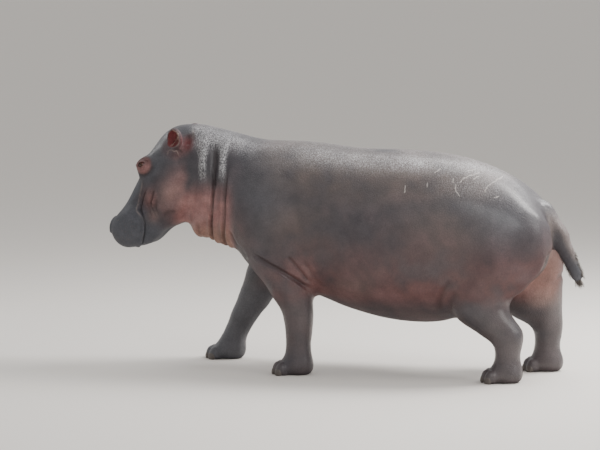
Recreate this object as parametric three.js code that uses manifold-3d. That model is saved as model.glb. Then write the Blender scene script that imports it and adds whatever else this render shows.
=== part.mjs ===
// A common hippopotamus at life size, walking with its head low. Millimetres, +Z up. It faces -Y, its left
// side is +X, and the four soles stand on Z = 0. One smooth flesh is described as a distance field of named masses,
// each part's share of it is meshed at its own fineness, and thin parting cuts divide it into its parts.
import * as THREE from "three";
import { mergeVertices } from "three/addons/utils/BufferGeometryUtils.js";
import Module from "manifold-3d";

const wasm = await Module();
wasm.setup();

// ---------------------------------------------------------------- driving sizes

const GAP = 0.3; // left between two parts at a parting cut
const HEAD_PITCH = THREE.MathUtils.degToRad(53.5); // how far the face points down
const HEAD_ORIGIN = { y: -1048, z: 1301 }; // middle of the skull, behind the eyes
const EYE_RADIUS = 24;
const FOOT_HEIGHT = 150; // where a leg is parted from its foot
const TOE_ANGLES = [-50, -17, 17, 50]; // degrees from straight ahead

// Outline of neck and trunk: back line, belly line, half width, and the height of the widest place.
const TORSO = [
  { y: -1060, top: 1490, belly: 892, half: 196, widest: 1180 }, // behind the ears
  { y: -940, top: 1528, belly: 824, half: 232, widest: 1160 }, // nape
  { y: -820, top: 1513, belly: 772, half: 262, widest: 1110 }, // neck folds
  { y: -690, top: 1483, belly: 738, half: 300, widest: 1050 }, // root of the neck
  { y: -550, top: 1450, belly: 650, half: 338, widest: 990 }, // point of the shoulder
  { y: -400, top: 1446, belly: 572, half: 372, widest: 940 }, // withers
  { y: -165, top: 1437, belly: 480, half: 408, widest: 890 }, // behind the elbow
  { y: 100, top: 1407, belly: 383, half: 436, widest: 850 }, // ribs
  { y: 400, top: 1404, belly: 328, half: 448, widest: 820 }, // deepest belly
  { y: 650, top: 1383, belly: 336, half: 432, widest: 830 }, // flank
  { y: 890, top: 1327, belly: 430, half: 396, widest: 860 }, // hips
  { y: 1100, top: 1232, belly: 560, half: 340, widest: 880 }, // croup
  { y: 1285, top: 1106, belly: 745, half: 215, widest: 905 }, // root of the tail
];
const TORSO_END_ROUNDING = 150;

// Rings of loose skin round the neck, as places in the side view from nape to throat.
const FOLDS_FADE = { from: 1400, over: 260 }; // towards the nape
const NECK_FOLDS = [
  { depth: 18, line: [[-912, 1350], [-938, 1200], [-945, 1070], [-1000, 880]] },
  { depth: 32, line: [[-818, 1370], [-799, 1272], [-793, 1081], [-815, 960], [-872, 760]] },
  { depth: 20, line: [[-716, 1330], [-698, 1212], [-706, 1080], [-718, 960], [-742, 740]] },
];
const FOLD_WIDTH = 30;

// Joints of each leg from shoulder or hip down to the foot, and where its foot stands.
const LEGS = {
  foreleg_left: {
    side: 1,
    foot: [282, -250],
    joints: [
      [246, -400, 780, 170],
      [266, -285, 560, 130],
      [272, -232, 400, 92],
      [276, -226, 270, 79],
      [280, -232, 110, 80],
    ],
  },
  foreleg_right: {
    side: -1,
    foot: [-282, -852],
    joints: [
      [-246, -470, 780, 170],
      [-262, -585, 560, 128],
      [-270, -668, 410, 96],
      [-275, -742, 285, 78],
      [-280, -826, 110, 78],
    ],
  },
  hindleg_left: {
    side: 1,
    foot: [276, 1082],
    joints: [
      [205, 1010, 720, 225],
      [238, 905, 480, 150],
      [262, 1010, 372, 110],
      [268, 1108, 285, 84],
      [272, 1098, 110, 78],
    ],
  },
  hindleg_right: {
    side: -1,
    foot: [-276, 1236],
    joints: [
      [-205, 1120, 700, 238],
      [-224, 1146, 520, 204],
      [-254, 1212, 400, 124],
      [-268, 1258, 300, 86],
      [-272, 1244, 110, 80],
    ],
  },
};

// Parting lines of the legs in the side view, from front to back, and how far out each cut begins.
// A thigh is cut in two reaches: its front stays clear of the belly, its back meets the other thigh.
const THIGH_BACK = { inner: 0, line: [[985, 742], [1130, 748], [1330, 716], [1560, 690]] };
const LEG_PARTINGS = {
  foreleg_left: [{ inner: 118, line: [[-750, 784], [-620, 806], [-455, 728], [-146, 541], [20, 440]] }],
  foreleg_right: [{ inner: 118, line: [[-980, 640], [-750, 700], [-660, 760], [-430, 560], [-330, 440]] }],
  hindleg_left: [
    { inner: 150, line: [[680, 330], [716, 500], [776, 610], [900, 704], [1060, 742]] },
    THIGH_BACK,
  ],
  hindleg_right: [
    { inner: 150, line: [[700, 330], [736, 500], [796, 610], [910, 704], [1060, 742]] },
    THIGH_BACK,
  ],
};

const COLOURS = {
  hide: 0x5a5453,
  belly: 0x6b5350,
  ear: 0x8a5d55,
  eye: 0x2a1c14,
  nail: 0x5d5146,
};

// ---------------------------------------------------------------- distance fields

// Two masses run into each other over a blend of that width.
function blended(a, b, blend) {
  const share = Math.max(blend - Math.abs(a - b), 0) / blend;
  return Math.min(a, b) - (share * share * blend) / 4;
}

// An ellipsoid, measured from a point that is given relative to its centre.
function ellipsoid(x, y, z, rx, ry, rz) {
  const scaled = Math.hypot(x / rx, y / ry, z / rz);
  const slope = Math.hypot(x / (rx * rx), y / (ry * ry), z / (rz * rz));
  return slope < 1e-9 ? -Math.min(rx, ry, rz) : (scaled * (scaled - 1)) / slope;
}

// A limb bone with its flesh: two balls of their own radius and the cone between them.
function limb(x, y, z, a, b) {
  const [ax, ay, az, ra] = a;
  const [bx, by, bz, rb] = b;
  const long = [bx - ax, by - ay, bz - az];
  const from = [x - ax, y - ay, z - az];
  const length2 = long[0] ** 2 + long[1] ** 2 + long[2] ** 2;
  const along = (from[0] * long[0] + from[1] * long[1] + from[2] * long[2]) / length2;
  const share = Math.min(Math.max(along, 0), 1);
  const off = Math.hypot(from[0] - share * long[0], from[1] - share * long[1], from[2] - share * long[2]);
  return off - (ra + (rb - ra) * share);
}

// A block with rounded corners.
function block(x, y, z, hx, hy, hz, round) {
  const qx = Math.abs(x) - hx + round;
  const qy = Math.abs(y) - hy + round;
  const qz = Math.abs(z) - hz + round;
  const outside = Math.hypot(Math.max(qx, 0), Math.max(qy, 0), Math.max(qz, 0));
  return outside + Math.min(Math.max(qx, qy, qz), 0) - round;
}

const torsoShape = new THREE.CubicInterpolant(
  TORSO.map((s) => s.y),
  TORSO.flatMap((s) => [s.top, s.belly, s.half, s.widest]),
  4,
  new Float64Array(4),
);

function torso(x, y, z) {
  const front = TORSO[0].y;
  const back = TORSO[TORSO.length - 1].y;
  const [top, belly, half, widest] = torsoShape.evaluate(Math.min(Math.max(y, front), back));
  const rise = z > widest ? top - widest : widest - belly;
  const power = 2.2; // a little squarer than an ellipse
  const out = (Math.abs(x / half) ** power + Math.abs((z - widest) / rise) ** power) ** (1 / power);
  const across = (out - 1) * Math.min(half, rise) + TORSO_END_ROUNDING;
  const past = Math.max(front - y, y - back) + TORSO_END_ROUNDING;
  const corner = Math.hypot(Math.max(across, 0), Math.max(past, 0));
  return corner + Math.min(Math.max(across, past), 0) - TORSO_END_ROUNDING;
}

// How far a fold's line lies from a place in the side view.
function awayFromLine(y, z, line) {
  let away = Infinity;
  for (let i = 1; i < line.length; i++) {
    const [ay, az] = line[i - 1];
    const [by, bz] = line[i];
    const share = ((y - ay) * (by - ay) + (z - az) * (bz - az)) / ((by - ay) ** 2 + (bz - az) ** 2);
    const on = Math.min(Math.max(share, 0), 1);
    away = Math.min(away, Math.hypot(y - ay - on * (by - ay), z - az - on * (bz - az)));
  }
  return away;
}

function neckFolds(y, z) {
  let pressed = 0;
  for (const { depth, line } of NECK_FOLDS) {
    pressed += depth * Math.exp(-((awayFromLine(y, z, line) / FOLD_WIDTH) ** 2));
  }
  return pressed * Math.min(Math.max((FOLDS_FADE.from - z) / FOLDS_FADE.over, 0), 1);
}

// The head in its own frame: u from the skull to the muzzle, v towards the forehead, w out to either side.
function head(x, y, z) {
  const w = Math.abs(x);
  const dy = y - HEAD_ORIGIN.y;
  const dz = z - HEAD_ORIGIN.z;
  const u = -Math.cos(HEAD_PITCH) * dy - Math.sin(HEAD_PITCH) * dz;
  const v = -Math.sin(HEAD_PITCH) * dy + Math.cos(HEAD_PITCH) * dz;

  const cranium = ellipsoid(w, u + 10, v - 45, 168, 215, 172);
  const cheek = ellipsoid(w - 92, u - 150, v + 30, 128, 215, 190);
  const jowl = ellipsoid(w - 80, u - 225, v + 142, 118, 165, 94);
  const bridge = limb(w, u, v, [0, 120, 72, 128], [0, 545, 24, 112]);
  const orbit = ellipsoid(w - 149, u - 156, v - 177, 54, 57, 58);
  const earBase = ellipsoid(w - 158, u + 62, v - 98, 42, 62, 54);
  const browRidge = limb(w, u, v, [112, 60, 120, 62], [128, 175, 128, 62]);

  const muzzle = block(w, u - 548, v - 22, 186, 116, 104, 96);
  const lip = ellipsoid(w - 112, u - 533, v - 10, 104, 136, 110);
  const nostril = ellipsoid(w - 70, u - 606, v - 108, 44, 50, 44);

  const chin = block(w, u - 480, v + 80, 150, 110, 66, 60);
  const jaw = limb(w, u, v, [64, 460, -76, 72], [80, 230, -112, 102]);

  let face = blended(cranium, cheek, 90);
  face = blended(face, bridge, 60);
  face = blended(face, browRidge, 50);
  face = blended(face, jowl, 70);
  face = blended(face, orbit, 26);
  face = blended(face, earBase, 30);
  let snout = blended(muzzle, lip, 50);
  snout = blended(snout, nostril, 26);
  face = blended(face, snout, 50);
  let lower = blended(chin, jaw, 60);
  lower = blended(lower, jowl, 50);
  face = blended(face, lower, 22);
  return face;
}

// The skull's frame back in the body's: u and v to y and z.
function onHead(u, v) {
  return {
    y: HEAD_ORIGIN.y - Math.cos(HEAD_PITCH) * u - Math.sin(HEAD_PITCH) * v,
    z: HEAD_ORIGIN.z - Math.sin(HEAD_PITCH) * u + Math.cos(HEAD_PITCH) * v,
  };
}

// A broad foot: one pad, and four toes that spread from it.
function foot(x, y, z, [footX, footY]) {
  const dx = x - footX;
  const dy = y - footY;
  let sole = ellipsoid(dx, dy - 16, z - 52, 98, 106, 72);
  for (const degrees of TOE_ANGLES) {
    const turn = THREE.MathUtils.degToRad(degrees);
    const reach = -Math.sin(turn) * -dx - Math.cos(turn) * dy;
    const aside = Math.cos(turn) * dx + Math.sin(turn) * dy;
    sole = blended(sole, ellipsoid(aside, reach - 84, z - 36, 37, 56, 46), 16);
  }
  return sole;
}

function leg(x, y, z, { joints, foot: footPlace }) {
  let flesh = limb(x, y, z, joints[0], joints[1]);
  for (let i = 2; i < joints.length; i++) {
    flesh = blended(flesh, limb(x, y, z, joints[i - 1], joints[i]), 40);
  }
  return blended(flesh, foot(x, y, z, footPlace), 46);
}

// A tail like a flat paddle, hanging from the croup: round at its root, narrower towards the tip.
const TAIL = {
  root: [0, 1258, 1052, 66],
  middle: [0, 1366, 884, 62],
  tip: [0, 1487, 632, 42],
  flatness: 1.7, // tall and thin, more so toward the tip
};

function tail(x, y, z) {
  const away = Math.min(Math.max((1100 - z) / 300, 0), 1); // it flattens on its way down
  const wide = x * (1 + (TAIL.flatness - 1) * away);
  const upper = limb(wide, y, z, TAIL.root, TAIL.middle);
  return blended(upper, limb(wide, y, z, TAIL.middle, TAIL.tip), 30);
}

// The whole flesh of the animal but its tail.
function body(x, y, z) {
  const w = Math.abs(x);
  let flesh = torso(x, y, z);
  flesh = blended(flesh, ellipsoid(w - 226, y + 420, z - 930, 150, 190, 330), 120); // shoulder blade
  flesh = blended(flesh, ellipsoid(w - 178, y - 1100, z - 850, 186, 262, 290), 50); // buttock
  flesh = blended(flesh, ellipsoid(x, y + 936, z - 925, 190, 70, 104), 40); // loose skin of the throat
  if (y < -500) {
    flesh = blended(flesh, head(x, y, z), 70);
    flesh += neckFolds(y, z);
  }
  for (const each of Object.values(LEGS)) {
    flesh = blended(flesh, leg(x, y, z, each), 60);
  }
  return flesh;
}

// ---------------------------------------------------------------- meshes and cuts

// Meshes the part of a field that lies in a box, as a surface net: one vertex in each cell that it crosses,
// drawn onto the surface, and one quad round each grid edge that pierces it.
function meshOf(field, low, high, cell) {
  const count = low.map((from, i) => Math.ceil((high[i] - from) / cell[i]) + 1);
  const inBox = (x, y, z) =>
    Math.max(low[0] - x, x - high[0], low[1] - y, y - high[1], low[2] - z, z - high[2]) +
    Math.min(...cell) / 2;
  const surface = (x, y, z) => Math.max(field(x, y, z), inBox(x, y, z));
  const at = (i, j, k) => (k * count[1] + j) * count[0] + i;
  const place = (i, axis) => low[axis] + i * cell[axis];
  const values = new Float64Array(count[0] * count[1] * count[2]);
  for (let k = 0; k < count[2]; k++)
    for (let j = 0; j < count[1]; j++)
      for (let i = 0; i < count[0]; i++) {
        values[at(i, j, k)] = surface(place(i, 0), place(j, 1), place(k, 2));
      }
  settle(values, count, at);

  const positions = [];
  const vertexOf = new Map();
  for (let k = 0; k < count[2] - 1; k++)
    for (let j = 0; j < count[1] - 1; j++)
      for (let i = 0; i < count[0] - 1; i++) {
        const crossing = crossingOf(values, at, [i, j, k]);
        if (!crossing) continue;
        const p = crossing.map((c, axis) => place(c, axis));
        vertexOf.set(at(i, j, k), positions.length / 3);
        positions.push(...drawnOnto(surface, p, 0.7 * Math.min(...cell)));
      }

  const quads = [];
  const steps = [[1, 0, 0], [0, 1, 0], [0, 0, 1]];
  for (let k = 0; k < count[2] - 1; k++)
    for (let j = 0; j < count[1] - 1; j++)
      for (let i = 0; i < count[0] - 1; i++)
        for (let axis = 0; axis < 3; axis++) {
          if ([i, j, k].some((c, other) => other !== axis && c === 0)) continue;
          const here = values[at(i, j, k)];
          const next = values[at(i + steps[axis][0], j + steps[axis][1], k + steps[axis][2])];
          if (here < 0 === next < 0) continue;
          const b = steps[(axis + 1) % 3];
          const c = steps[(axis + 2) % 3];
          const round = [[0, 0], [1, 0], [1, 1], [0, 1]].map(([m, n]) =>
            vertexOf.get(at(i - m * b[0] - n * c[0], j - m * b[1] - n * c[1], k - m * b[2] - n * c[2])),
          );
          quads.push(here < 0 ? round : round.reverse());
        }
  const triangles = splitQuads(quads, positions);
  relax(positions, triangles, surface);
  return solid(positions, triangles);
}

// Where two opposite corners of a grid square lie inside and two outside, the surface would meet itself along an
// edge, so the corner nearest to the surface changes sides.
function settle(values, count, at) {
  let changed = true;
  while (changed) {
    changed = false;
    for (let k = 0; k < count[2] - 1; k++)
      for (let j = 0; j < count[1] - 1; j++)
        for (let i = 0; i < count[0] - 1; i++) {
          const squares = [
            [at(i, j, k), at(i + 1, j, k), at(i + 1, j + 1, k), at(i, j + 1, k)],
            [at(i, j, k), at(i, j + 1, k), at(i, j + 1, k + 1), at(i, j, k + 1)],
            [at(i, j, k), at(i, j, k + 1), at(i + 1, j, k + 1), at(i + 1, j, k)],
          ];
          for (const square of squares) {
            const [a, b, c, d] = square.map((n) => values[n] < 0);
            if (a !== c || b !== d || a === b) continue;
            const nearest = square.reduce((m, n) => (Math.abs(values[n]) < Math.abs(values[m]) ? n : m));
            values[nearest] = values[nearest] < 0 ? 1e-3 : -1e-3;
            changed = true;
          }
        }
  }
}

// Evens out the facets: each vertex goes to the middle of its neighbours and back onto the surface.
function relax(positions, triangles, surface) {
  for (let round = 0; round < 3; round++) {
    const sums = positions.map(() => 0);
    const counts = new Float64Array(positions.length / 3);
    for (let t = 0; t < triangles.length; t += 3)
      for (const [from, to] of [[0, 1], [1, 2], [2, 0]]) {
        const a = triangles[t + from];
        const b = triangles[t + to];
        for (let i = 0; i < 3; i++) sums[3 * a + i] += positions[3 * b + i];
        counts[a]++;
      }
    for (let n = 0; n < counts.length; n++) {
      const middle = [0, 1, 2].map((i) => (positions[3 * n + i] + sums[3 * n + i] / counts[n]) / 2);
      const back = drawnOnto(surface, middle, 40);
      for (let i = 0; i < 3; i++) positions[3 * n + i] = back[i];
    }
  }
}

// The mean of the places where the surface crosses a cell's edges, in cells, or nothing if it doesn't.
function crossingOf(values, at, corner) {
  const sum = [0, 0, 0];
  let crossings = 0;
  for (let axis = 0; axis < 3; axis++)
    for (const m of [0, 1])
      for (const n of [0, 1]) {
        const a = [...corner];
        a[(axis + 1) % 3] += m;
        a[(axis + 2) % 3] += n;
        const b = [...a];
        b[axis] += 1;
        const from = values[at(...a)];
        const to = values[at(...b)];
        if (from < 0 === to < 0) continue;
        a[axis] += from / (from - to);
        a.forEach((c, i) => (sum[i] += c));
        crossings++;
      }
  return crossings ? sum.map((c) => c / crossings) : null;
}

// Moves a point onto the surface along the field's slope, no further than it may reach.
function drawnOnto(surface, p, reach) {
  const h = 0.5;
  let [x, y, z] = p;
  for (let step = 0; step < 4; step++) {
    const value = surface(x, y, z);
    const slope = [
      (surface(x + h, y, z) - surface(x - h, y, z)) / (2 * h),
      (surface(x, y + h, z) - surface(x, y - h, z)) / (2 * h),
      (surface(x, y, z + h) - surface(x, y, z - h)) / (2 * h),
    ];
    const steep = Math.max(slope[0] ** 2 + slope[1] ** 2 + slope[2] ** 2, 0.05);
    x -= (value * slope[0]) / steep;
    y -= (value * slope[1]) / steep;
    z -= (value * slope[2]) / steep;
  }
  const moved = Math.hypot(x - p[0], y - p[1], z - p[2]);
  const share = moved > reach ? reach / moved : 1;
  return [p[0] + (x - p[0]) * share, p[1] + (y - p[1]) * share, p[2] + (z - p[2]) * share];
}

// Two triangles for each quad, split along its shorter diagonal, unless another face has an edge there.
function splitQuads(quads, positions) {
  const apart = (m, n) => Math.hypot(...[0, 1, 2].map((i) => positions[3 * m + i] - positions[3 * n + i]));
  const edge = (m, n) => `${Math.min(m, n)} ${Math.max(m, n)}`;
  const edges = new Set(quads.flatMap(([a, b, c, d]) => [edge(a, b), edge(b, c), edge(c, d), edge(d, a)]));
  const triangles = [];
  for (const [a, b, c, d] of quads) {
    const shorter = apart(a, c) < apart(b, d);
    const taken = edges.has(shorter ? edge(a, c) : edge(b, d));
    if (shorter !== taken) {
      triangles.push(a, b, c, a, c, d);
      edges.add(edge(a, c));
    } else {
      triangles.push(b, c, d, b, d, a);
      edges.add(edge(b, d));
    }
  }
  return triangles;
}

// The same solid, a little larger: each vertex goes out along its normal.
function grown(made, by) {
  const geometry = geometryOf(made);
  const { position, normal } = geometry.attributes;
  const positions = Array.from(position.array, (c, i) => c + by * normal.array[i]);
  return solid(positions, Array.from(geometry.index.array));
}

function solid(positions, triangles) {
  return new wasm.Manifold(
    new wasm.Mesh({
      numProp: 3,
      vertProperties: new Float32Array(positions),
      triVerts: new Uint32Array(triangles),
    }),
  );
}

// A closed three.js geometry as a solid, for cutting and joining.
function solidOf(geometry) {
  const bare = geometry.clone();
  bare.deleteAttribute("normal");
  bare.deleteAttribute("uv");
  const merged = mergeVertices(bare, 1e-3);
  return solid(merged.attributes.position.array, merged.index.array);
}

// A solid back as a geometry with flat faces.
function geometryOf(made) {
  const mesh = made.getMesh();
  const corners = new Float32Array(mesh.numVert * 3);
  for (let i = 0; i < mesh.numVert; i++) {
    corners.set(mesh.vertProperties.subarray(i * mesh.numProp, i * mesh.numProp + 3), i * 3);
  }
  const geometry = new THREE.BufferGeometry();
  geometry.setAttribute("position", new THREE.BufferAttribute(corners, 3));
  geometry.setIndex(new THREE.BufferAttribute(new Uint32Array(mesh.triVerts), 1));
  geometry.computeVertexNormals();
  return geometry;
}

// A prism for parting cuts: an outline of the side view, carried across the body from one x to another.
function prism(outline, fromX, toX, grow) {
  const points = offsetOutline(outline.map(([y, z]) => new THREE.Vector2(y, z)), grow);
  const geometry = new THREE.ExtrudeGeometry(new THREE.Shape(points), {
    depth: toX - fromX + 2 * grow,
    bevelEnabled: false,
  });
  geometry.applyMatrix4(new THREE.Matrix4().set(0, 0, 1, fromX - grow, 1, 0, 0, 0, 0, 1, 0, 0, 0, 0, 0, 1));
  return solidOf(geometry);
}

// Moves each edge of a counter-clockwise outline outwards by the same small distance.
function offsetOutline(points, grow) {
  const outline = THREE.ShapeUtils.area(points) < 0 ? [...points].reverse() : points;
  return outline.map((corner, i) => {
    const before = outline[(i + outline.length - 1) % outline.length];
    const after = outline[(i + 1) % outline.length];
    const into = corner.clone().sub(before).normalize();
    const out = after.clone().sub(corner).normalize();
    const normal = new THREE.Vector2(into.y, -into.x).add(new THREE.Vector2(out.y, -out.x));
    return corner.clone().addScaledVector(normal, grow / (1 + into.dot(out)));
  });
}

// A parting prism in two sizes: one keeps what is inside it, the other clears it from a neighbour.
function parting(outline, fromX = -700, toX = 700) {
  return {
    keep: prism(outline, fromX, toX, -GAP / 2),
    clear: prism(outline, fromX, toX, GAP / 2),
  };
}

// ---------------------------------------------------------------- parting lines

const FAR = 2200; // beyond the animal on every side
const FLOOR_CUT = [[-FAR, 0], [FAR, 0], [FAR, FAR], [-FAR, FAR]];
const aboveFloor = prism(FLOOR_CUT, -FAR, FAR, 0);

const NAPE = [[-1010, 100], [-1000, 860], [-945, 1070], [-938, 1200], [-915, 1330], [-940, FAR]];
const SHOULDER = [[-690, -50], [-680, 690], [-640, 900], [-612, 1250], [-630, FAR]];
const headPart = parting([[-FAR, 100], ...NAPE, [-FAR, FAR]]);
const frontPart = parting([[-FAR, -50], ...SHOULDER, [-FAR, FAR]]);

// The mouth's line in the head's frame, from the front of the lips back to its corner and on to the jaw's angle.
const MOUTH = [
  [760, -60],
  [640, -92],
  [590, -104],
  [540, -94],
  [490, -74],
  [442, -46],
  [416, -10],
  [404, 24],
  [356, 46],
  [292, 40],
];
const JAW_BACK = [[262, -20], [285, -262], [300, -420], [760, -420]];
const jawPart = parting([...MOUTH, ...JAW_BACK].map(([u, v]) => [onHead(u, v).y, onHead(u, v).z]));

function legPart(name) {
  const reaches = LEG_PARTINGS[name].map(({ inner, line }) => {
    const outline = [...line, [line[line.length - 1][0], -20], [line[0][0], -20]];
    return LEGS[name].side > 0 ? parting(outline, inner, 700) : parting(outline, -700, -inner);
  });
  return reaches.reduce((a, b) => ({ keep: a.keep.add(b.keep), clear: a.clear.add(b.clear) }));
}

function footPart(name) {
  const y = LEGS[name].foot[1];
  const outline = [[y - 300, -20], [y + 300, -20], [y + 300, FOOT_HEIGHT], [y - 300, FOOT_HEIGHT]];
  return LEGS[name].side > 0 ? parting(outline, 0, 700) : parting(outline, -700, 0);
}

// ---------------------------------------------------------------- the parts

const hippo = new THREE.Group();

function add(name, made, colour, roughness) {
  const material = new THREE.MeshStandardMaterial({ color: colour, roughness, metalness: 0 });
  const mesh = new THREE.Mesh(geometryOf(made), material);
  mesh.name = name;
  hippo.add(mesh);
}

// Eyes: a ball sunk in each orbit, so that a cap of it shows.
const eyeHigh = onHead(149, 176);
const EYE_PLACE = [187, eyeHigh.y, eyeHigh.z];

function eyeBall(side, grow) {
  const ball = new THREE.SphereGeometry(EYE_RADIUS + grow, 10, 7);
  ball.translate(side * EYE_PLACE[0], EYE_PLACE[1], EYE_PLACE[2]);
  return solidOf(ball);
}

// Ears: a small oval cup on each side of the nape, open outwards and a little forwards.
const EAR = { height: 75, width: 56, depth: 30, wall: 10 };

function earShape(side, height, width, depth, out) {
  const cup = new THREE.SphereGeometry(1, 9, 7);
  cup.scale(depth, width, height);
  cup.translate(out, 0, 0);
  cup.rotateZ(THREE.MathUtils.degToRad(-24));
  cup.rotateX(THREE.MathUtils.degToRad(-14));
  cup.rotateY(THREE.MathUtils.degToRad(24));
  cup.translate(202, -1059, 1455);
  const made = solidOf(cup);
  return side > 0 ? made : made.mirror([1, 0, 0]);
}

function ear(side, grow) {
  const outer = earShape(side, EAR.height + grow, EAR.width + grow, EAR.depth + grow, 0);
  if (grow) return outer;
  const { height, width, depth, wall } = EAR;
  return outer.subtract(earShape(side, height - wall, width - wall, depth - wall / 2, depth * 0.62));
}

// Nails: a blunt hoof on the front of each toe.
function nail(name, degrees, grow) {
  const [footX, footY] = LEGS[name].foot;
  const turn = THREE.MathUtils.degToRad(degrees);
  const hoof = new THREE.SphereGeometry(1, 7, 4);
  hoof.rotateX(Math.PI / 2);
  hoof.scale(30 + grow, 17 + grow, 30 + grow);
  hoof.translate(0, -130, 25);
  hoof.rotateZ(turn);
  hoof.translate(footX, footY, 0);
  return solidOf(hoof);
}

function addFoot(name, made, part) {
  const limbName = name.replace("leg", "foot");
  let pad = made.intersect(part.keep);
  TOE_ANGLES.forEach((degrees, i) => {
    pad = pad.subtract(nail(name, degrees, GAP));
    const hoof = nail(name, degrees, 0).intersect(aboveFloor);
    add(`${limbName.replace("foot", "nail")}_${i + 1}`, hoof, COLOURS.nail, 0.5);
  });
  add(limbName, pad, COLOURS.hide, 0.55);
}

// Head and jaw share one mesh of the field, finer than the rest.
const skull = meshOf(body, [-300, -1640, 560], [300, -800, 1640], [45, 45, 45]);
let headFlesh = skull.intersect(headPart.keep).subtract(jawPart.clear);
for (const side of [1, -1]) {
  headFlesh = headFlesh.subtract(eyeBall(side, GAP)).subtract(ear(side, GAP));
}
const jawFlesh = skull.intersect(headPart.keep).intersect(jawPart.keep);
add("head", headFlesh, COLOURS.hide, 0.5);
add("jaw", jawFlesh, COLOURS.hide, 0.5);
add("eye_left", eyeBall(1, 0), COLOURS.eye, 0.1);
add("eye_right", eyeBall(-1, 0), COLOURS.eye, 0.1);
add("ear_left", ear(1, 0), COLOURS.ear, 0.6);
add("ear_right", ear(-1, 0), COLOURS.ear, 0.6);

const neck = meshOf(body, [-420, -1120, 560], [420, -500, 1640], [74, 38, 74]);
let neckFlesh = neck.intersect(frontPart.keep).subtract(headPart.clear);
for (const side of [1, -1]) neckFlesh = neckFlesh.subtract(ear(side, GAP));

const tailFlesh = meshOf(tail, [-90, 1200, 560], [90, 1640, 1180], [26, 30, 46]);
const trunk = meshOf(body, [-560, -980, 240], [560, 1540, 1560], [110, 124, 110]);
let trunkFlesh = trunk.subtract(frontPart.clear).subtract(grown(tailFlesh, GAP));

for (const name of Object.keys(LEGS)) {
  const [footX, footY] = LEGS[name].foot;
  const part = legPart(name);
  const sole = footPart(name);
  trunkFlesh = trunkFlesh.subtract(part.clear);
  neckFlesh = neckFlesh.subtract(part.clear);
  const side = LEGS[name].side;
  const lowX = side > 0 ? -80 : -500;
  const y = LEGS[name].joints[1][1];
  const limbFlesh = meshOf(body, [lowX, y - 420, -110], [lowX + 580, y + 640, 980], [60, 58, 88]);
  add(name, limbFlesh.intersect(part.keep).subtract(sole.clear), COLOURS.hide, 0.55);
  const footLow = [footX - 190, footY - 210, -70];
  const footHigh = [footX + 190, footY + 190, 250];
  const footFlesh = meshOf(body, footLow, footHigh, [38, 38, 42]);
  addFoot(name, footFlesh.intersect(aboveFloor), sole);
}

add("neck", neckFlesh, COLOURS.hide, 0.5);
add("trunk", trunkFlesh, COLOURS.belly, 0.5);

add("tail", tailFlesh, COLOURS.hide, 0.55);

export default hippo;
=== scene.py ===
import math
import random

import bpy
import numpy as np
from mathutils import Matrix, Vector, noise
from mathutils.bvhtree import BVHTree


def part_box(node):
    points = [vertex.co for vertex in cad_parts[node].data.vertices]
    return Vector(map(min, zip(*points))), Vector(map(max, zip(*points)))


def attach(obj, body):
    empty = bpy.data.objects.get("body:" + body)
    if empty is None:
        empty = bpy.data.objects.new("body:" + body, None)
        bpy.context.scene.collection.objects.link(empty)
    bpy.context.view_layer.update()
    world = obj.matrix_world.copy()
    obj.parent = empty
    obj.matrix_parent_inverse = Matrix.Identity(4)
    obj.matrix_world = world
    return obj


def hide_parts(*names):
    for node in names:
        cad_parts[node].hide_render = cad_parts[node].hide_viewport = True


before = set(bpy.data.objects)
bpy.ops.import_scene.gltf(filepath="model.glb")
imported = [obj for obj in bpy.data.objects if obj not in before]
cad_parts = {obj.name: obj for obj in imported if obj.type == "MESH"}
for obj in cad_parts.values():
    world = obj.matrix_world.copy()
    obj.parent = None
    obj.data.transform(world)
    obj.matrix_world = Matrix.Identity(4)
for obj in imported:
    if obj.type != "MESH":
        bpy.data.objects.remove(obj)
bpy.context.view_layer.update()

# ------------------------ skin
# The whole animal wears one closed skin, thick hide over fat and muscle with no seam from lip to tail.
# It is made from the solids, joined and smoothed, then split finer where the folds are small.
# Here y runs from the muzzle to the tail and z up from the floor, in metres.
SKIN_CELL = 0.0188  # between the skin's points before any face is split
LEFT, RIGHT = 1, -1  # the sign of x on each flank
FAR = 9.0
flesh = [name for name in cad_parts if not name.startswith("eye") and "nail" not in name]


def choose(*objects):
    """Selects these objects alone, the first of them active."""
    bpy.ops.object.select_all(action="DESELECT")
    for each in objects:
        each.select_set(True)
    bpy.context.view_layer.objects.active = objects[0]


def mode(name):
    bpy.ops.object.mode_set(mode=name)


parts = {}
for name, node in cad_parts.items():
    parts[name] = bpy.data.objects.new("flesh_part", node.data.copy())
    bpy.context.scene.collection.objects.link(parts[name])
choose(*parts.values())
mode("EDIT")
bpy.ops.mesh.select_all(action="SELECT")
bpy.ops.mesh.remove_doubles(threshold=0.00001)
bpy.ops.transform.shrink_fatten(value=0.001)
mode("OBJECT")
for name in ("ear_left", "ear_right"):  # each ear goes in as a full almond, and its cup is hollowed out later
    choose(parts[name])
    mode("EDIT")
    bpy.ops.mesh.select_all(action="SELECT")
    bpy.ops.mesh.convex_hull()
    mode("OBJECT")
choose(*parts.values())
bpy.ops.object.join()
skin = bpy.context.object
skin.name = skin.data.name = "skin"
skin.data.materials.clear()
remesh = skin.modifiers.new("voxels", "REMESH")
remesh.mode = "VOXEL"
remesh.voxel_size = SKIN_CELL
bpy.ops.object.modifier_apply(modifier="voxels")


def rows(items, key, wide=3, kind=np.float32):
    """What each of a mesh's points, faces or edges says of itself, a row for each."""
    out = np.empty(len(items) * wide, kind)
    items.foreach_get(key, out)
    return out.reshape(-1, wide)


def points_of(mesh):
    return rows(mesh.vertices, "co").astype(float)


def set_points(mesh, co):
    mesh.vertices.foreach_set("co", co.astype(np.float32).ravel())
    mesh.update()


def normals_of(mesh):
    return rows(mesh.vertex_normals, "vector").astype(float)


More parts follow.
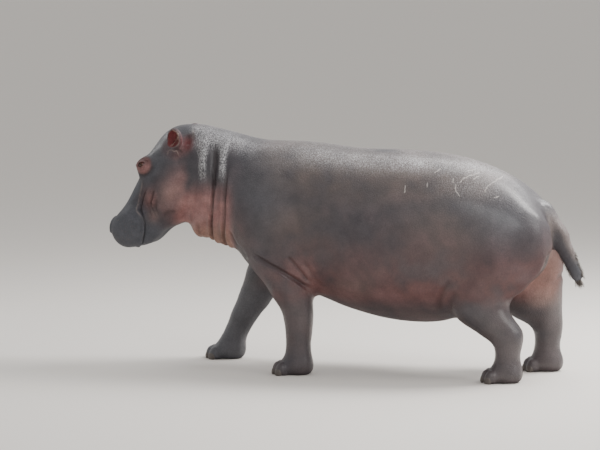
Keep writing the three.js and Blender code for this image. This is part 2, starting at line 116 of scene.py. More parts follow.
def links_of(mesh):
    """Each vertex's neighbours in one row, where each row begins, and how long it is."""
    ends = rows(mesh.edges, "vertices", 2, np.int32)
    here = np.concatenate([ends[:, 0], ends[:, 1]])
    there = np.concatenate([ends[:, 1], ends[:, 0]])[np.argsort(here, kind="stable")]
    count = np.bincount(here, minlength=len(mesh.vertices))
    return there, np.concatenate([[0], np.cumsum(count)[:-1]]), count[:, None]


def averaged(values, links, passes):
    there, first, count = links
    for _ in range(passes):
        values = 0.5 * values + 0.5 * np.add.reduceat(values[there], first, axis=0) / count
    return values


def eased(co, links, passes):
    """Smoothed, with the broad shape that smoothing took away given back."""
    low = averaged(co, links, passes)
    return low + averaged(co - low, links, passes)


def ramp(value, low, high):
    """Nought below low, one above high, and smooth between."""
    share = np.clip((value - low) / (high - low), 0, 1)
    return share * share * (3 - 2 * share)


def fall(value, low, high):
    return 1 - ramp(value, low, high)


def mirrored(co):
    """The points with the right flank laid over the left."""
    return np.column_stack([np.abs(co[:, 0]), co[:, 1:]])


def away(co, line):
    """How far each point is from a line of points, either side of the animal alike."""
    p, line = mirrored(co), np.array(line, float)
    best = np.full(len(p), FAR)
    for a, b in zip(line[:-1], line[1:]):
        share = np.clip(((p - a) @ (b - a)) / max((b - a) @ (b - a), 1e-12), 0, 1)
        best = np.minimum(best, np.linalg.norm(p - a - share[:, None] * (b - a), axis=1))
    return best


HEAD_PITCH, HEAD_Y, HEAD_Z = math.radians(53.5), -1.048, 1.301
HEAD_COS, HEAD_SIN = math.cos(HEAD_PITCH), math.sin(HEAD_PITCH)


def head_place(co):
    """How far toward the muzzle, and how far toward the crown, in the tilted head."""
    y, z = co[:, 1] - HEAD_Y, co[:, 2] - HEAD_Z
    return -HEAD_COS * y - HEAD_SIN * z, -HEAD_SIN * y + HEAD_COS * z


def from_head(x, toward, above):
    return Vector((x, HEAD_Y - HEAD_COS * toward - HEAD_SIN * above, HEAD_Z - HEAD_SIN * toward + HEAD_COS * above))


EYE = sum(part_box("eye_left"), Vector()) / 2
EAR = Vector((0.202, -1.059, 1.455))  # the middle of the left ear, and the ways it opens, widens and stands
EAR_OUT = Vector((0.8745, -0.3946, -0.2816))
EAR_ACROSS = Vector((0.2816, 0.8864, -0.3673))
EAR_UP = Vector((0.3946, 0.2419, 0.8864))
EAR_LINE = [EAR - EAR_UP * 0.04, EAR + EAR_UP * 0.05]
MOUTH = [(0.214, 0.065), (0.260, 0.063), (0.310, 0.059), (0.357, 0.049), (0.391, 0.032), (0.411, -0.005),
         (0.437, -0.048), (0.483, -0.080), (0.528, -0.100), (0.568, -0.110)]  # on the cheek: toward, above
LIPS = [(0.100, 0.597, -0.108), (0.055, 0.618, -0.104), (0.0, 0.624, -0.102)]  # round the front: across, toward, above
mouth_line = [from_head(0.17, *m) for m in MOUTH] + [from_head(*m) for m in LIPS]
nostril_line = [from_head(0.055, 0.585, 0.14), from_head(0.085, 0.600, 0.14), from_head(0.095, 0.635, 0.12)]

co, links = points_of(skin.data), links_of(skin.data)  # the barrel of the body is smoothed most, and the ears least
in_body = ramp(co[:, 1], -0.98, -0.70) * ramp(co[:, 2], 0.44, 0.70) * fall(co[:, 1], 1.22, 1.34)
broad, close = eased(co, links, 60), eased(co, links, 12)
shaped = close + (broad - close) * in_body[:, None]
set_points(skin.data, shaped + (averaged(co, links, 2) - shaped) * fall(away(co, EAR_LINE), 0.045, 0.085)[:, None])


def split(wanted):
    """Splits the faces whose centres are wanted into four."""
    mode("EDIT")
    bpy.ops.mesh.select_mode(type="FACE")
    bpy.ops.mesh.select_all(action="DESELECT")
    mode("OBJECT")
    skin.data.polygons.foreach_set("select", wanted(rows(skin.data.polygons, "center").astype(float)))
    mode("EDIT")
    bpy.ops.mesh.subdivide(number_cuts=1)
    mode("OBJECT")


def head_feet_and_tail(c):
    y, z = c[:, 1], c[:, 2]
    return ((y < -0.68) & (z > 0.70) & ((z < 1.44) | (y < -0.93))) | (z < 0.12) | (y > 1.44)


split(head_feet_and_tail)
set_points(skin.data, eased(points_of(skin.data), links_of(skin.data), 3))

# Where a limb swings against the body the hide creases: each fold's line (y, z), depth, width and raised lip.
LIMB_FOLDS = {
    "elbow": [
        ([(-0.684, 0.892), (-0.640, 0.808), (-0.587, 0.763), (-0.541, 0.714)], 0.008, 0.012, 0.004),
        ([(-0.500, 0.765), (-0.470, 0.746), (-0.374, 0.695), (-0.287, 0.649), (-0.216, 0.601), (-0.161, 0.558),
          (-0.134, 0.531)], 0.014, 0.011, 0.007),
        ([(-0.275, 0.758), (-0.237, 0.715), (-0.185, 0.648), (-0.149, 0.585)], 0.008, 0.009, 0.004),
        ([(-0.170, 0.724), (-0.125, 0.657), (-0.079, 0.563)], 0.005, 0.009, 0.003),
    ],
    "flank": [
        ([(0.760, 0.640), (0.750, 0.604), (0.713, 0.554), (0.685, 0.490), (0.680, 0.43)], 0.006, 0.018, 0.003),
        ([(0.800, 0.560), (0.765, 0.500), (0.750, 0.44)], 0.003, 0.012, 0.001),
    ],
    "thigh": [
        ([(1.353, 0.820), (1.326, 0.714), (1.289, 0.654), (1.231, 0.599), (1.182, 0.542), (1.107, 0.496)],
         0.017, 0.013, 0.007),
    ],
}


def limb_folds(flank):
    """The folds of one flank, each with the share that fades in. Those on the right follow where its legs stand."""
    for limb, folds in LIMB_FOLDS.items():
        for points, depth, width, lip in folds:
            faded = 0.15
            if flank == RIGHT and limb == "elbow":
                points = [(y - 0.07 - 0.23 * min(1, max(0, (0.80 - z) / 0.25)), z) for y, z in points]
            elif flank == RIGHT and limb == "flank":
                points = [(y + 0.16, z) for y, z in points]
            elif flank == RIGHT:
                points, depth, lip, faded = [(y + 0.10, z) for y, z in points], 0.4 * depth, 0.3 * lip, 0.5
            yield points, depth, width, lip, faded


def near_limb_fold(c):
    flat, found = c * (0, 1, 1), np.zeros(len(c), bool)
    for flank in (LEFT, RIGHT):
        for points, depth, width, _, _ in limb_folds(flank):
            if depth > 0.005:
                found |= (away(flat, [(0, *p) for p in points]) < 2.0 * width) & (c[:, 0] * flank > 0.1)
    return found


def near_small_fold(c):
    behind_ear = [(0.20, -0.985, 1.50), (0.23, -0.975, 1.40), (0.22, -1.08, 1.36)]
    return ((away(c, mouth_line) < 0.036) | (away(c, [EYE, EYE]) < 0.068) | (away(c, EAR_LINE) < 0.07)
            | (away(c, behind_ear) < 0.045) | (away(c, nostril_line) < 0.04))


def eye_ear_or_nostril(c):
    return (away(c, [EYE, EYE]) < 0.043) | (away(c, nostril_line) < 0.026) | (away(c, EAR_LINE) < 0.058)


for wanted in (near_limb_fold, near_small_fold, eye_ear_or_nostril):
    split(wanted)

# ------------------------ folds of hide
# Thick hide hangs in rings round the neck and creases where a limb swings against the body.
# Each fold is pressed in, and its edges raised, along a line drawn in the side view (y, z).
co, normal = points_of(skin.data), normals_of(skin.data)
lift, shadow = np.zeros(len(co)), np.zeros(len(co))


def bell(distance, width):
    """One at no distance, smoothly down to nought past about twice the width."""
    return np.exp(-((distance / width) ** 2))


def curve_through(points, spacing=0.01):
    p = [np.array(q, float) for q in points]
    p = [2 * p[0] - p[1]] + p + [2 * p[-1] - p[-2]]
    out = []
    for a, b, c, d in zip(p, p[1:], p[2:], p[3:]):
        steps = max(2, int(np.linalg.norm(c - b) / spacing))
        for t in np.arange(steps) / steps:
            bend, turn = 2 * a - 5 * b + 4 * c - d, 3 * b - a - 3 * c + d
            out.append(0.5 * (2 * b + (c - a) * t + bend * t**2 + turn * t**3))
    return np.array(out + [p[-2]])


def beside(places, line, reach, facing=None):
    """The places near a line, their distance from it, which side of it they are on, and how far along it."""
    near = np.nonzero(np.all((places > line.min(0) - reach) & (places < line.max(0) + reach), axis=1))[0]
    p = places[near]
    far, hand, share = np.full(len(p), FAR), np.zeros(len(p)), np.zeros(len(p))
    for i, (a, b) in enumerate(zip(line[:-1], line[1:])):
        run = b - a
        t = np.clip(((p - a) @ run) / (run @ run), 0, 1)
        off = p - a - t[:, None] * run
        d = np.linalg.norm(off, axis=1)
        if facing is None:
            turn = run[0] * off[:, 1] - run[1] * off[:, 0]
        else:
            turn = np.einsum("ij,ij->i", np.cross(run, facing[near]), off)
        closer = d < far
        far[closer], hand[closer] = d[closer], np.sign(turn[closer])
        share[closer] = ((i + t) / (len(line) - 1))[closer]
    return near, far, hand, share


ENDS = (0.15, 0.15)  # the share of a fold over which it fades in and out


def crease(places, points, depth, width, lip=0.0, where=1.0, fade=ENDS, dark=0.7, facing=None):
    """Presses a fold in along a line and raises its lips. A negative depth raises a crest instead."""
    near, far, _, share = beside(places, curve_through(points), 4 * width, facing)
    weight = (where * np.ones(len(co)))[near]
    if fade[0]:
        weight *= ramp(share, 0, fade[0])
    if fade[1]:
        weight *= fall(share, 1 - fade[1], 1)
    dip = bell(far, width) * weight
    lift[near] += lip * bell(far - 2.1 * width, 1.2 * width) * weight - depth * dip
    # painted shade: the fold's dip darkens the colour there
    shadow[near] = np.maximum(shadow[near], dark * dip)


def press(co, normal):
    """Moves the skin by all that is pressed in and raised so far, and gives its new places and normals."""
    co = co + normal * lift[:, None]
    set_points(skin.data, co)
    lift[:] = 0
    return co, normals_of(skin.data)


NECK_FOLDS = [  # line, depth, width, raised lip, darkness: two deep rings, a valley between two crests, two wrinkles
    ([(-0.806, 1.33), (-0.795, 1.25), (-0.790, 1.176), (-0.797, 1.080), (-0.808, 0.981), (-0.830, 0.853),
      (-0.848, 0.76)], 0.018, 0.009, 0.009, 0.75),
    ([(-0.705, 1.35), (-0.699, 1.28), (-0.703, 1.213), (-0.709, 1.086), (-0.716, 0.957), (-0.742, 0.830),
      (-0.758, 0.74)], 0.014, 0.011, 0.008, 0.75),
    ([(-0.802, 1.45), (-0.796, 1.38), (-0.792, 1.30), (-0.790, 1.18)], 0.016, 0.024, 0.0, 0.70),
    ([(-0.880, 1.53), (-0.877, 1.43), (-0.868, 1.33), (-0.862, 1.20)], -0.011, 0.022, 0.0, 0.0),
    ([(-0.730, 1.49), (-0.735, 1.40), (-0.740, 1.33), (-0.745, 1.18)], -0.010, 0.018, 0.0, 0.0),
    ([(-0.752, 0.96), (-0.760, 0.88), (-0.775, 0.80), (-0.785, 0.74)], 0.004, 0.009, 0.002, 0.5),
    ([(-0.905, 0.94), (-0.915, 0.88), (-0.925, 0.80)], 0.004, 0.009, 0.002, 0.5),
]
side_view = co[:, 1:3]
outer = ramp(np.abs(co[:, 0]), 0.10, 0.17)
for points, depth, width, lip, dark in NECK_FOLDS:
    crease(side_view, points, depth, width, lip, fade=(0.35, 0.25 if depth < 0 else 0.0), dark=dark)
co, normal = press(co, normal)
for flank in (LEFT, RIGHT):
    for points, depth, width, lip, faded in limb_folds(flank):
        crease(side_view, points, depth, width, lip, outer * (co[:, 0] * flank > 0), (faded, 0.15),
               0.85 if depth > 0.015 else 0.55)
co, normal = press(co, normal)

# ------------------------ head
# A hippopotamus has a broad fleshy muzzle over heavy jaws, raised sockets for the eyes and nostrils on top.
# Its lips, jowls and brows are folds of the same hide, laid here in the tilted frame of the head.
LIP_RIDGE = [(0.185, 0.125), (0.247, 0.111), (0.325, 0.088), (0.378, 0.065), (0.413, 0.042), (0.423, -0.006),
             (0.438, -0.037), (0.478, -0.064), (0.527, -0.086)]
FACE_FOLDS = [  # line (toward, above), depth, width, raised lip, darkness, fading ends
    ([(0.10, 0.118), (0.150, 0.112), (0.197, 0.126), (0.222, 0.165)], 0.006, 0.011, 0.003, 0.7, ENDS),
    (LIP_RIDGE, -0.007, 0.008, 0.0, 0.0, (0.2, 0.1)),
    ([(v[0] - 0.012, v[1] + 0.022) for v in LIP_RIDGE[:4]], 0.004, 0.010, 0.0, 0.15, (0.3, 0.4)),
    ([(0.222, 0.017), (0.250, 0.010), (0.284, 0.001), (0.338, -0.015)], 0.010, 0.0065, 0.005, 0.9, ENDS),
    ([(0.262, -0.030), (0.295, -0.042), (0.325, -0.052)], 0.005, 0.009, 0.003, 0.6, ENDS),
    ([(0.360, 0.000), (0.371, -0.028), (0.399, -0.086)], 0.003, 0.006, 0.001, 0.35, ENDS),
    ([(0.310, -0.020), (0.315, -0.037), (0.344, -0.095)], 0.003, 0.007, 0.001, 0.35, ENDS),
    ([(0.335, -0.010), (0.345, -0.045), (0.372, -0.095)], 0.002, 0.005, 0.001, 0.3, ENDS),
    ([(0.247, -0.183), (0.283, -0.140), (0.33, -0.125)], 0.004, 0.012, 0.002, 0.7, ENDS),
    ([(-0.010, 0.070), (-0.030, 0.050), (-0.037, 0.010)], 0.002, 0.007, 0.002, 0.3, ENDS),
    ([(-0.060, 0.070), (-0.075, 0.040), (-0.072, 0.010)], 0.002, 0.006, 0.001, 0.7, ENDS),
    ([(-0.223, 0.060), (-0.195, 0.030), (-0.166, 0.000)], 0.003, 0.008, 0.002, 0.7, ENDS),
]
EAR_RIDGES = [  # line (y, z), depth, width, fading ends: three low ridges below the ear, its rear root, and the dish
    ([(-1.106, 1.380), (-1.084, 1.386), (-1.066, 1.375), (-1.050, 1.379)], -0.0022, 0.0045, ENDS),
    ([(-1.104, 1.380), (-1.113, 1.352), (-1.125, 1.326)], -0.0018, 0.0045, ENDS),
    ([(-1.052, 1.380), (-1.042, 1.358), (-1.034, 1.330)], -0.0022, 0.0045, ENDS),
    ([(-0.972, 1.515), (-0.956, 1.475), (-0.954, 1.435), (-0.963, 1.395), (-0.985, 1.375)], -0.007, 0.009, (0.2, 0.3)),
    ([(-0.995, 1.480), (-0.985, 1.445), (-0.988, 1.405)], 0.008, 0.017, (0.3, 0.3)),
]
head_view, side_view = np.column_stack(head_place(co)), co[:, 1:3]
cheek_side = (co[:, 1] < -0.93) * (head_view[:, 0] > -0.25) * ramp(np.abs(co[:, 0]), 0.07, 0.12)
for points, depth, width, lip, dark, fade in FACE_FOLDS:
    crease(head_view, points, depth, width, lip, cheek_side, fade, dark)
for points, depth, width, fade in EAR_RIDGES:
    crease(side_view, points, depth, width, 0.0, cheek_side, fade, 0.0)
co, normal = press(co, normal)


def skin_tree():
    return BVHTree.FromPolygons(points_of(skin.data).tolist(), [list(p.vertices) for p in skin.data.polygons])


tree = skin_tree()


def on_side(toward, above):
    """The place on the left of the head that the side view shows there."""
    hit = tree.ray_cast(from_head(0.6, toward, above), Vector((-1, 0, 0)))[0]
    return hit if hit else tree.find_nearest(from_head(0.1, toward, above))[0]


# The mouth: one long line from the corner, down behind the muzzle and round its front, under a full upper lip.
mouth_line = [on_side(*m) for m in MOUTH] + [tree.find_nearest(from_head(*m))[0] for m in LIPS]
facing = normal * np.where(co[:, :1] < 0, (-1, 1, 1), (1, 1, 1))
crease(mirrored(co), mouth_line, 0.014, 0.0048, fade=(0.25, 0), dark=0.6, facing=facing)
near, far, hand, share = beside(mirrored(co), curve_through(mouth_line), 0.06, facing)
lift[near] += np.where(hand > 0, 0.009, -0.004) * ramp(share, 0.30, 0.55) * bell(far - 0.016, 0.013)
co, normal = press(co, normal)

# The nostrils: slanting slits that the animal shuts under water, each with a raised rim.
nostril = [tree.find_nearest(p)[0] for p in nostril_line]
near, far, _, _ = beside(mirrored(co), curve_through(nostril, 0.005), 0.06)
lift[near] += 0.009 * bell(far - 0.018, 0.012) - 0.018 * bell(far, 0.0062)
# painted shade in the slit
shadow[near] = np.maximum(shadow[near], bell(far, 0.008))
co, normal = press(co, normal)

# The lids: thick rims that wrap each eyeball, with a fold above and a bag below.
EYE_OPEN = (0.0200, 0.0118)  # half the opening's length and height
BALL, LID = 0.024, 0.0255  # how far the ball's hollow and the lids' edge stand from the eye's middle


def eye_axes(flank):
    """The way an eye looks, the way its slit runs, and the way up across it."""
    out = np.array((flank * 0.96, -0.26, 0.10))
    out /= np.linalg.norm(out)
    along = np.array(from_head(0, 0.895, 0.446) - from_head(0, 0, 0))
    along = along - (along @ out) * out
    along /= np.linalg.norm(along)
    over = np.cross(out, along)
    return out, along, over * np.sign(over[2])


def wrinkled(a, b):
    return np.array([noise.noise(Vector((p, q, 0)) * 60) for p, q in zip(a, b)])


for flank in (LEFT, RIGHT):
    eye = np.array((flank * EYE.x, EYE.y, EYE.z))
    out, along, over = eye_axes(flank)
    d = co - eye
    near = np.nonzero((np.linalg.norm(d, axis=1) < 0.075) & (d @ out > -0.01))[0]
    d = d[near]
    a, b, o = d @ along, d @ over, d @ out
    rho = np.hypot(a, b)
    q = np.hypot(a / EYE_OPEN[0], b / EYE_OPEN[1])  # one at the edge of the opening
    ball = np.sqrt(np.maximum(BALL**2 - rho**2, 0))
    lid = np.sqrt(np.maximum((LID + 0.005 * ramp(q, 1.0, 1.35)) ** 2 - rho**2, 0))
    upper_fold = bell(q - 1.95, 0.16)
    fold = 0.0035 * upper_fold * (0.4 + 0.6 * (b > 0))
    fold += 0.002 * bell(q - 2.65, 0.14) * (0.5 + 0.5 * wrinkled(a, b))
    wrap = fall(q, 1.5, 2.6) * (rho < 0.030)
    o_new = np.where(q < 1, ball - 0.006 - 0.006 * (1 - q), o + (lid - o) * wrap - fold)
    brow = bell(b - 0.037 + 5 * a**2, 0.0035) * (np.abs(a) < 0.026)
    co[near] = eye + a[:, None] * along + b[:, None] * over + (o_new - 0.003 * brow)[:, None] * out
    # painted shade: a dark rim round the opening that fades outward, and more under the brow and the upper fold
    edge = 0.9 * bell(q - 1.08, 0.12) + 0.35 * fall(q, 1.1, 2.2)
    shadow[near] = np.maximum.reduce([shadow[near], 0.7 * upper_fold * (b > 0), edge, 0.6 * brow])
set_points(skin.data, co)

# ------------------------ ears
# Small upright cups of gristle under thin skin, red inside, with a rolled rim and a fold down the middle.
EAR_SIZE = (0.030, 0.057, 0.075)  # half its depth, width and height
BOWL_SIZE = (0.047, 0.063)  # half the hollow's width and height


def ear_axes(flank):
    """An ear's middle, and the ways it opens, widens and stands."""
    return (np.array(v) * (flank, 1, 1) for v in (EAR, EAR_OUT, EAR_ACROSS, EAR_UP))


def bowl_share(s, t, wide, tall):
    """Nought in the middle of the ear's hollow and one at its edge."""
    return np.hypot((s - 0.30 * np.minimum(t, 0)) / wide, (t - 0.004) / tall)


def off_ridge(s, t):
    """How far a point of the hollow is from the fold that runs down it."""
    return s - 0.0135 - 0.245 * np.maximum(t, 0) - 0.48 * np.minimum(t, 0)


for flank in (LEFT, RIGHT):
    centre, out, across, up = ear_axes(flank)
    o, s, t = ((co - centre) @ way for way in (out, across, up))
    r = np.sqrt((o / EAR_SIZE[0]) ** 2 + (s / EAR_SIZE[1]) ** 2 + (t / EAR_SIZE[2]) ** 2)
    mine = np.nonzero((r < 1.5) & (r > 0.3) & (t > -0.075) & (co[:, 0] * flank > 0))[0]
    o, s, t, r = o[mine], s[mine], t[mine], r[mine]
    free = ramp(t, -0.066, -0.030) * fall(r, 1.25, 1.5)
    fit = 1 + (1 / r - 1) * free
    o, s, t = o * fit, s * fit, t * fit
    q = bowl_share(s, t, *BOWL_SIZE)
    bowl = 1 - np.clip(q, 0, 1) ** 2.4
    front = ramp(o, -0.004, 0.004) * free
    ridge = 0.020 * bell(off_ridge(s, t), 0.0075) * bowl
    flap = 0.016 * ramp(off_ridge(s, t), 0.0, 0.02) * bowl  # the rear half is shallower
    rim = 0.003 * bell(q - 1.05, 0.09) * ramp(s, -0.03, 0.02)
    o = o - front * (0.050 * bowl - 0.6 * ridge - flap) + front * rim
    co[mine] = centre + o[:, None] * out + s[:, None] * across + t[:, None] * up
set_points(skin.data, co)

# ------------------------ toes
# Each foot spreads on four short toes, rounded pads of hide that close round the nails, with a cleft between.
TOE_ANGLES = (-50, -17, 17, 50)
NAIL_REACH, PAD_REACH = 0.130, 0.104  # from the middle of the foot
PAD_HEIGHT = 0.034
PAD_AHEAD, PAD_BEHIND, PAD_WIDE, PAD_TALL = 0.039, 0.062, 0.039, 0.050
NAILS = sorted(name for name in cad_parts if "nail" in name)


def toe_of(nail):
    """Where a nail's foot is centred, and the way the toe points."""
    low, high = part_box(nail)
    turn = math.radians(TOE_ANGLES[int(nail[-1]) - 1])
    points = Vector((math.sin(turn), -math.cos(turn), 0))
    return (low + high) / 2 - points * NAIL_REACH, points, turn


for nail in NAILS:
    foot, points, _ = toe_of(nail)
    pad = np.array(foot + points * PAD_REACH)
    pad[2] = PAD_HEIGHT
    d = co - pad
    ahead, across = d @ np.array(points), d @ np.array((points.y, -points.x, 0))
    long = np.where(ahead > 0, PAD_AHEAD, PAD_BEHIND)
    r = np.sqrt((ahead / long) ** 2 + (across / PAD_WIDE) ** 2 + (d[:, 2] / PAD_TALL) ** 2)
    swell = np.nonzero((r < 1) & (r > 0.2) & (ahead > -0.05))[0]
    co[swell] = pad + d[swell] / r[swell, None]
co[:, 2] = np.maximum(co[:, 2], 0.001)
near = np.nonzero(co[:, 2] < 0.14)[0]
co[near] += (averaged(co, links_of(skin.data), 2)[near] - co[near]) * 0.8
set_points(skin.data, co)

# ------------------------ camera
# It looks from the animal's left side, a little behind square and a little above, with a long lens.
CAMERA_AZIMUTH, CAMERA_HEIGHT, CAMERA_DISTANCE = math.radians(105), math.radians(6), 20.0
level = math.cos(CAMERA_HEIGHT)
back = Vector((math.sin(CAMERA_AZIMUTH) * level, -math.cos(CAMERA_AZIMUTH) * level, math.sin(CAMERA_HEIGHT)))
camera = bpy.data.objects.new("camera", bpy.data.cameras.new("camera"))
camera.data.lens, camera.data.sensor_width, camera.data.clip_end = 189.6, 36, 600
camera.location = Vector((0, -0.295, 0.909)) + back * CAMERA_DISTANCE
camera.rotation_euler = back.to_track_quat("Z", "Y").to_euler()
bpy.context.scene.collection.objects.link(camera)
bpy.context.scene.camera = camera

# ------------------------ hide, its colours
# Wet hide is slate above, browner along the back and flesh pink wherever it is thin or folded.
# Where each tone lies is kept with the skin's points, and the grain comes from the material.
# Shade in the folds, round the eyes and in the nostrils is painted into the colour, and so are highlights on the wet
# crests.
co, normal = points_of(skin.data), normals_of(skin.data)
shadow = averaged(shadow[:, None], links_of(skin.data), 1)[:, 0]
side, y, z = np.abs(co[:, 0]), co[:, 1], co[:, 2]
toward, above = head_place(co)
cloud = np.array([noise.fractal(Vector(p) * 5.0, 0.8, 2.0, 3) for p in co])
speck = np.array([noise.noise(Vector(p) * 38.0) for p in co])
BODY, FACE = (y, z), (toward, above)  # the side view of the whole, and that of the tilted head
TAIL_LINE = [(0, 1.258, 1.052), (0, 1.366, 0.884), (0, 1.487, 0.632)]


def patch(view, centre, size, amount):
    """A soft patch about a place in a view, its half width and height, and how strong it is."""
    return amount * bell(view[0] - centre[0], size[0]) * bell(view[1] - centre[1], size[1])


def strongest(*masks):
    return np.maximum.reduce(masks)


on_head, on_tail = fall(y, -1.02, -0.94), fall(away(co, TAIL_LINE), 0.055, 0.080)
eye_near, ear_near = away(co, [EYE, EYE]), away(co, EAR_LINE)
leg, above_legs = fall(z, 0.42, 0.56) * (y > -1.0), ramp(z, 0.66, 0.74)
inner_face = strongest(fall(side, 0.00, 0.26), ramp(-normal[:, 0] * np.sign(co[:, 0]), -0.3, 0.8))

pink = strongest(  # throat and neck, cheeks, jaw, chin, sockets, ears, belly, behind the elbow, inside the thighs
    ramp(y, -1.14, -1.00) * fall(y, -0.72, -0.62) * fall(z, 1.04, 1.22) * above_legs,
    on_head * patch(FACE, (0.13, -0.13), (0.17, 0.10), 0.80),
    on_head * patch(FACE, (0.10, -0.24), (0.22, 0.12), 0.90),
    on_head * patch(FACE, (0.30, 0.00), (0.07, 0.06), 0.50),
    on_head * patch(FACE, (0.37, -0.07), (0.05, 0.05), 0.35),
    (0.22 + 0.30 * fall(z, EYE.z - 0.010, EYE.z + 0.015)) * fall(eye_near, 0.045, 0.075),
    0.35 * fall(ear_near, 0.06, 0.13),
    0.45 * (1 - on_head) * fall(z, 0.42, 0.80) * ramp(y, -0.75, -0.40) * (1 - 0.8 * ramp(y, 0.65, 0.90))
    * (1 - 0.5 * ramp(side, 0.20, 0.45)),
    patch(BODY, (-0.15, 0.60), (0.16, 0.12), 0.38),
    inner_face * patch(BODY, (1.15, 0.62), (0.22, 0.20), 0.60),
)
pink = np.clip(pink * (1 + 0.35 * cloud) + 0.10 * cloud, 0, 1) * (1 - 0.75 * leg)
brown = strongest(  # back, shoulder, flank, belly, legs
    ramp(z, 0.95, 1.30) * ramp(y, -0.62, -0.35) * fall(y, 0.9, 1.25),
    patch(BODY, (-0.22, 0.95), (0.26, 0.16), 0.85),
    patch(BODY, (0.74, 0.92), (0.34, 0.22), 0.75),
    patch(BODY, (0.15, 0.57), (0.20, 0.10), 0.90),
    0.35 * leg,
)
brown = np.clip(brown * (0.85 + 0.8 * cloud), 0, 1)
dark = strongest(  # muzzle, its bridge, shoulder and rump, forehead, tail, the right foreleg
    0.75 * on_head * ramp(toward, 0.33, 0.46) * (1 - patch(FACE, (0.37, -0.07), (0.06, 0.05), 0.70)),
    0.80 * on_head * ramp(toward, 0.18, 0.30) * ramp(above, 0.08, 0.13),
    patch(BODY, (-0.45, 1.13), (0.17, 0.22), 0.45) + patch(BODY, (1.08, 0.99), (0.18, 0.14), 0.45),
    0.45 * on_head * ramp(above, 0.03, 0.09) * fall(toward, 0.20, 0.30) * ramp(eye_near, 0.05, 0.08),
    0.60 * ramp(y, 1.40, 1.50),
    # the right foreleg: its greyer tone, made lighter as painted light against the shade the body casts on it
    0.60 * leg * (co[:, 0] < 0) * fall(y, -0.40, -0.20),
)
dark = np.clip(dark + 0.25 * cloud, 0, 1)

behind_ear = ramp(side, 0.10, 0.16) * patch(BODY, (-0.984, 1.436), (0.034, 0.052), 1.0)
inner_ear, light_edge = 0.88 * behind_ear, np.zeros(len(co))
broken = ramp(speck, -0.3, 0.2)  # a pale edge is worn through in places
for flank in (LEFT, RIGHT):
    centre, out, across, up = ear_axes(flank)
    o, s, t = ((co - centre) @ way for way in (out, across, up))
    facing = normal @ out
    hollow = fall(bowl_share(s, t, 0.049, 0.065), 0.86, 1.0) * (o < 0.024) * (o > -0.03)
    inner_ear = strongest(inner_ear, hollow * ramp(facing, -0.5, 0.0))
    rim = bell(bowl_share(s, t, *BOWL_SIZE) - 1.03, 0.09) * ramp(o, -0.002, 0.006) * ramp(s, -0.010, 0.025)
    ridge = bell(off_ridge(s, t), 0.0055) * fall(-t, 0.035, 0.060) * (t < 0.062) * ramp(facing, -0.3, 0.3)
    light_edge = strongest(light_edge, 0.38 * rim * (0.4 + 0.6 * broken) * (np.abs(o) < 0.04),
                           0.85 * ridge * (0.3 + 0.7 * broken) * (np.abs(o) < 0.05))
pale = strongest(  # ears, cheek and chin, and a painted highlight on the lit face of the tail
    light_edge,
    on_head * patch(FACE, (0.18, -0.08), (0.12, 0.08), 0.17),
    on_head * patch(FACE, (0.37, -0.07), (0.055, 0.045), 0.17),
    # painted highlight on the tail's upper rear face, where it faces the light
    0.34 * on_tail * ramp(0.8 * normal[:, 1] + 0.5 * normal[:, 2], 0.0, 0.6) * ramp(z, 0.68, 0.80)
    * fall(z, 0.96, 1.08),
)
PALE_LINES = [  # view, line, width, strength: a painted highlight along the lip's ridge, a pale line behind the ear, painted highlights round the folds below the ear
    # painted highlight along the raised ridge of the upper lip
    (FACE, [(0.192, 0.120)] + LIP_RIDGE[1:7], 0.0045, 0.30),
    (BODY, [(-0.974, 1.520), (-0.958, 1.480), (-0.955, 1.450)], 0.006, 0.55),
    (BODY, [(-1.124, 1.328), (-1.112, 1.352), (-1.104, 1.376), (-1.084, 1.385), (-1.066, 1.374), (-1.052, 1.380),
            (-1.042, 1.360), (-1.034, 1.334)], 0.0036, 0.40),
]
for view, places, wide, amount in PALE_LINES:
    near, far, _, share = beside(np.column_stack(view), curve_through(places), 0.02)
    line = amount * bell(far, wide) * ramp(share, 0, 0.3) * fall(share, 0.8, 1)
    line *= (0.35 + 0.65 * ramp(speck[near], -0.35, 0.25)) * (side[near] > 0.10) * (y[near] < -0.94)
    pale[near] = np.maximum(pale[near], line)
wine = strongest(  # flank, thigh, front of the shoulder, sockets
    ramp(y, -0.50, -0.20) * fall(z, 0.52, 1.08) * fall(y, 1.28, 1.48) * (1 - leg),
    0.9 * ramp(y, 1.05, 1.30) * fall(z, 0.70, 0.95) * fall(y, 1.42, 1.50) * (1 - leg) * (1 - inner_face),
    patch(BODY, (-0.60, 0.86), (0.09, 0.17), 0.60),
    0.8 * fall(eye_near, 0.045, 0.075),
)
wine = np.clip(wine * (1 + 0.5 * cloud) * (1 - patch(BODY, (0.15, 0.57), (0.22, 0.09), 0.85)), 0, 1)
peach = strongest(  # the hanging folds of the throat, inside the thighs
    ramp(y, -1.02, -0.94) * fall(y, -0.72, -0.64) * fall(z, 0.80, 0.98) * above_legs,
    0.45 * inner_face * ramp(y, 1.08, 1.26) * fall(z, 0.72, 1.0) * ramp(z, 0.38, 0.52) * fall(y, 1.42, 1.46),
)
peach, pink, wine = (np.clip(mask * (1 + 0.4 * cloud), 0, 1) * (1 - on_tail) for mask in (peach, pink, wine))

